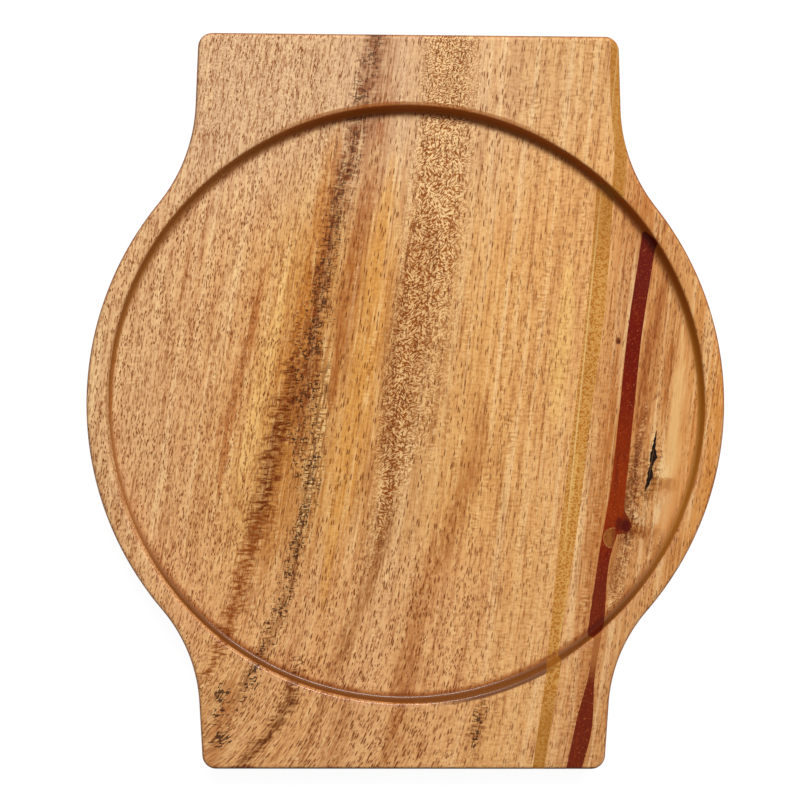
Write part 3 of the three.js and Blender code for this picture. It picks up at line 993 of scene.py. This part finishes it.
# Painted shade and the dark of old oil on the recess wall, and painted shade and grime on the floor along
# its foot.
colour = colour.tinted("4c1406", (wall + foot) * 0.6)
colour = colour.tinted("b4703a", faint * (0.5 + 0.5 * haze))
red.plug(
    {
        "Base Color": colour,
        "Roughness": 0.3 + 0.12 * cloud,
        "Normal": (cloud + haze).bump(0.15, 0.05 * MM),
        "Specular IOR Level": 0.08,
    }
)
red_mesh = part_plank("red_vein", red_left, red_right)
red_vein = finish_piece("red_vein_gum", red_mesh, red.material, "red_vein")

# Amber bead: a drop of clear gum almost as wide as the red vein, a little paler at its rim.
# It set hard inside the vein and was sanded flush with it, and now stands up by a hair.
bead_edge = station_line(
    (-76.2, 112.5), (-75, 110.9), (-73, 109.7), (-70.5, 109.2), (-68, 109.8), (-66, 111.3), (-64.8, 113.4)
)
bead_span = (-76.2, -64.8)
bead_right_most = 115.7
vein_gap = 0.04


def bead_left(y):
    return float(bead_edge(y))


def bead_right(y):
    return min(float(red_right(y * MM, floor_z)) / MM - vein_gap, bead_right_most)


def bead_crown(u, v):
    return 0.16 * (1 - (2 * u - 1) ** 2) * (1 - (2 * v - 1) ** 2)


bead = Finish(bpy.data.materials.new("amber_gum"))
bead_across, bead_along = 114.6, -70.5
bead_half, bead_reach = 5.5, 5.75
bead_ring = bead.oval(bead_across, bead_along, bead_half, bead_reach)
inner_side = ((bead.across - bead_across) / bead_half).smooth(-0.35, 0.15)
cloud = bead.noise(2.5, 2.5, detail=2.0, seed=6.0)
colour = bead.wire.blend("824216", "985824", cloud.smooth(0.35, 0.65))
colour = colour.tinted("74300f", inner_side * 0.7)
colour = colour.tinted("b87e46", bead_ring.smooth(0.86, 0.97) * 0.5)
bead.plug({"Base Color": colour, "Roughness": 0.26 + 0.1 * cloud, "Specular IOR Level": 0.1})
let_into(red_vein, bead_left, bead_right, *bead_span)
bead_mesh = inlay_mesh("amber_bead", bead_left, bead_right, *bead_span, bead_crown)
finish_piece("amber_bead_gum", bead_mesh, bead.material, "amber_bead")

# Edge board: the outer board of the plank, from the red vein to the right-hand rim.
# Its grain swirls round a bark pocket and shows a pale, smooth sheen beside it.
edge_mesh = part_plank("edge_board", red_right, None)
edge_board = finish_piece("edge_board_wood", edge_mesh, oiled_wood, "edge_board")

# Bark pocket: a torn leaf of bark that the tree closed over, dry, dark and fibrous.
# It stands on edge in the edge board, a little below the floor, with ragged sides.
bark_left_line = station_line(
    (-44.8, 131.4), (-41, 131.9), (-38, 132.4), (-36, 132.6), (-33, 133.0), (-30, 134.2),
    (-27, 133.8), (-25, 133.8), (-21, 134.9), (-16, 136.0), (-10.8, 137.3),
)
bark_right_line = station_line(
    (-44.8, 131.7), (-42.5, 133.1), (-41, 134.1), (-38, 135.2), (-36, 136.4), (-33, 135.7),
    (-30, 135.8), (-27.5, 137.5), (-25.3, 138.4), (-23, 137.7), (-21, 137.3), (-16, 137.3), (-10.8, 137.5),
)
bark_span = (-44.8, -10.8)
least_width = 0.15


def torn(y, seed):
    """The raggedness of the bark's sides, nothing at the tips."""
    share = (y - bark_span[0]) / (bark_span[1] - bark_span[0])
    tip = max(0.0, min(1.0, 8 * share, 8 * (1 - share)))
    return tip * (0.22 * math.sin(1.7 * y + seed) + 0.09 * math.sin(4.3 * y + 2 * seed))


def bark_left(y):
    return float(bark_left_line(y)) + torn(y, 0.4)


def bark_right(y):
    return max(float(bark_right_line(y)) + torn(y, 2.1), bark_left(y) + least_width)


def bark_crown(u, v):
    flake = math.sin(37 * u + 5 * v) * math.sin(9 * v + 11 * u)
    return -0.35 * (1 - (2 * v - 1) ** 4) + 0.14 * flake - 0.05


leaf = Finish(bpy.data.materials.new("bark"), lean=0.17)
fibres = leaf.noise(0.5, 5, detail=2.0, seed=12.0)
flakes = leaf.noise(1.2, 2.5, detail=1.0, seed=17.0)
sliver = abs(leaf.across - 0.155 * leaf.along - 139.5).smooth(0.3, 0.12)
sliver = sliver * leaf.along.smooth(-38, -34) * leaf.along.smooth(-20, -24)
colour = leaf.wire.blend("0e0604", "2c140a", flakes.smooth(0.45, 0.75))
colour = colour.tinted("7a4a26", fibres.smooth(0.64, 0.8) * 0.4)
colour = colour.tinted("8a5c30", sliver * 0.4)
leaf.plug(
    {
        "Base Color": colour,
        "Roughness": 0.6 + 0.25 * fibres,
        "Normal": (fibres + flakes).bump(0.6, 0.2 * MM),
        "Specular IOR Level": 0.1,
    }
)
let_into(edge_board, bark_left, bark_right, *bark_span)
bark_mesh = inlay_mesh("bark_pocket", bark_left, bark_right, *bark_span, bark_crown)
finish_piece("bark_pocket_bark", bark_mesh, leaf.material, "bark_pocket")

# Gum pocket: a burst of dark red gum that broke out of the vein into the edge board.
# It lies hard against the vein's outer face and was sanded level with the floor.
gum_edge = station_line(
    (-68.6, 117.6), (-68.2, 120.6), (-67.4, 122.6), (-66, 124.4), (-64.5, 125.2), (-62.5, 124.8),
    (-60, 123.5), (-57, 121.7), (-55, 120.6), (-53.4, 120.15),
)
gum_span = (-68.6, -53.4)
into_vein = 1.5


def gum_left(y):
    return float(red_right(y * MM, floor_z)) / MM + vein_gap


def gum_right(y):
    return max(float(gum_edge(y)) + 0.12 * math.sin(3.1 * y), gum_left(y) + least_width)


def gum_crown(u, v):
    return -0.12 * math.sin(math.pi * u) * math.sin(math.pi * v)


gum = Finish(bpy.data.materials.new("dark_gum"))
cloud = gum.noise(2.2, 2.2, detail=2.0, seed=9.0)
heart_ring = gum.oval(121.3, -63.8, 3.6, 4.6)
colour = gum.wire.blend("4e1006", "74280a", heart_ring.smooth(0.5, 1.2))
colour = colour.tinted("7c3a1a", cloud.smooth(0.5, 0.75) * 0.5)
colour = colour.tinted("380c08", cloud.smooth(0.45, 0.3) * 0.4)
gum.plug({"Base Color": colour, "Roughness": 0.3 + 0.12 * cloud, "Specular IOR Level": 0.08})
let_into(edge_board, gum_left, gum_right, *gum_span, overhang=into_vein)
gum_mesh = inlay_mesh("gum_pocket", gum_left, gum_right, *gum_span, gum_crown)
finish_piece("gum_pocket_gum", gum_mesh, gum.material, "gum_pocket")

# Studio: a white floor that keeps a faint shadow, and soft light from past the far grip.
# The camera looks down almost square on to the tray, as in the photograph.
floor_half = 3
floor_drop = 0.3 * MM
lit_grey = (0.7, 0.7, 0.7, 1)
shadow_grey = (0.12, 0.12, 0.12, 1)
floor_glow = 0.94
white = (1, 1, 1, 1)
floor_shape = bmesh.new()
bmesh.ops.create_grid(floor_shape, x_segments=1, y_segments=1, size=floor_half)
floor_mesh = bpy.data.meshes.new("studio_floor")
floor_shape.to_mesh(floor_mesh)
floor_shape.free()
for vertex in floor_mesh.vertices:
    vertex.co.z = -floor_drop
white_floor = bpy.data.materials.new("white_floor")
white_floor.use_nodes = True
wire = Wire(white_floor.node_tree)
shader = white_floor.node_tree.nodes["Principled BSDF"]
shader.inputs["Base Color"].default_value = lit_grey
shader.inputs["Roughness"].default_value = 1.0
shader.inputs["Specular IOR Level"].default_value = 0.0


def seen_rays(wire):
    """One for what the camera sees, straight or in a glossy or clear surface."""
    rays = wire.add("ShaderNodeLightPath").socket.node.outputs
    seen = Wire(wire.tree, rays["Is Camera Ray"])
    for kind in ("Is Glossy Ray", "Is Transmission Ray"):
        seen = seen.most(Wire(wire.tree, rays[kind]))
    return seen


seen = seen_rays(wire)
glow = wire.add("ShaderNodeEmission", {}, {"Color": white, "Strength": floor_glow})
matt = wire.add("ShaderNodeBsdfDiffuse", {}, {"Color": shadow_grey})
pale = wire.add("ShaderNodeAddShader", {}, {0: glow, 1: matt})
lit = Wire(wire.tree, shader.outputs[0])
both = wire.add("ShaderNodeMixShader", {}, {0: seen, 1: lit, 2: pale})
surface = white_floor.node_tree.nodes["Material Output"].inputs["Surface"]
wire.tree.links.new(both.socket, surface)
floor_mesh.materials.append(white_floor)
studio_floor = bpy.data.objects.new("studio_floor", floor_mesh)
bpy.context.collection.objects.link(studio_floor)

world = bpy.data.worlds.new("soft_room")
world.use_nodes = True
bpy.context.scene.world = world
wire = Wire(world.node_tree)
room_light = 0.28
strength = room_light + (1 - room_light) * seen_rays(wire)
backdrop = world.node_tree.nodes["Background"]
backdrop.inputs["Color"].default_value = white
wire.tree.links.new(strength.socket, backdrop.inputs["Strength"])

softbox = bpy.data.lights.new("far_softbox", "AREA")
softbox.shape = "RECTANGLE"
softbox.size = 2.0
softbox.size_y = 0.75
softbox.energy = 64
lamp = bpy.data.objects.new("far_softbox", softbox)
lamp.location = (0.35, 1.57, 1.78)
lamp.rotation_euler = (-lamp.location).to_track_quat("-Z", "Y").to_euler()
bpy.context.collection.objects.link(lamp)

camera_data = bpy.data.cameras.new("photo_camera")
camera_data.sensor_width = 36
camera_data.lens = 56.25
camera = bpy.data.objects.new("photo_camera", camera_data)
camera.location = (-14.39 * MM, 58.67 * MM, 693.82 * MM)
camera.rotation_euler = [math.radians(angle) for angle in (-4.4967, -0.8849, 0.3685)]
bpy.context.collection.objects.link(camera)
bpy.context.scene.camera = camera
bpy.context.scene.view_settings.view_transform = "Standard"
